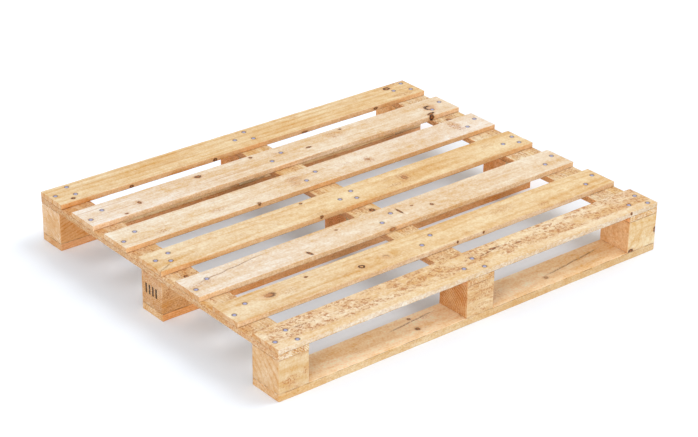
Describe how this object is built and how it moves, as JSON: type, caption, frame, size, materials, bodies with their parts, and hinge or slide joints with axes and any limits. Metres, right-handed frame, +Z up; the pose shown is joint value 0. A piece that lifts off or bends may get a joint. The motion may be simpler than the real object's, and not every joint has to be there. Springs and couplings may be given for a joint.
{
  "type": "wooden pallet",
  "caption": "Four-way block pallet of sawn pine: open deck boards on stringer boards, blocks and bottom boards, nailed together, with fork pockets on every side.",
  "frame": {"origin": "on the floor, under the middle of the pallet's 1200 x 1000 mm rectangle", "axes": "+X along the deck boards, +Y across them towards the back row of blocks, +Z up"},
  "size_m": [1.2, 1, 0.135],
  "materials": {
    "deck_pine": "rough-sawn pale pine, unfinished, with knots, checks and saw marks",
    "stringer_pine": "rough-sawn pine, unfinished, more orange and rougher than the deck",
    "block_pine": "sawn pine block, unfinished, straight grain on the sides and end grain on the ends",
    "bottom_pine": "rough-sawn pine, unfinished",
    "nail_steel": "zinc-coated steel, dull bluish grey"
  },
  "bodies": {
    "root": {"deck_board_1": "deck_pine", "deck_board_2": "deck_pine", "deck_board_3": "deck_pine", "deck_board_4": "deck_pine", "deck_board_5": "deck_pine", "deck_board_6": "deck_pine", "deck_board_7": "deck_pine", "stringer_board_left": "stringer_pine", "stringer_board_centre": "stringer_pine", "stringer_board_right": "stringer_pine", "block_front_left": "block_pine", "block_front_centre": "block_pine", "block_front_right": "block_pine", "block_middle_left": "block_pine", "block_middle_centre": "block_pine", "block_middle_right": "block_pine", "block_back_left": "block_pine", "block_back_centre": "block_pine", "block_back_right": "block_pine", "bottom_board_front": "bottom_pine", "bottom_board_middle": "bottom_pine", "bottom_board_back": "bottom_pine", "deck_nails_1": "nail_steel", "deck_nails_2": "nail_steel", "deck_nails_3": "nail_steel", "deck_nails_4": "nail_steel", "deck_nails_5": "nail_steel", "deck_nails_6": "nail_steel", "deck_nails_7": "nail_steel", "bottom_nails_front": "nail_steel", "bottom_nails_middle": "nail_steel", "bottom_nails_back": "nail_steel"}
  },
  "joints": []
}
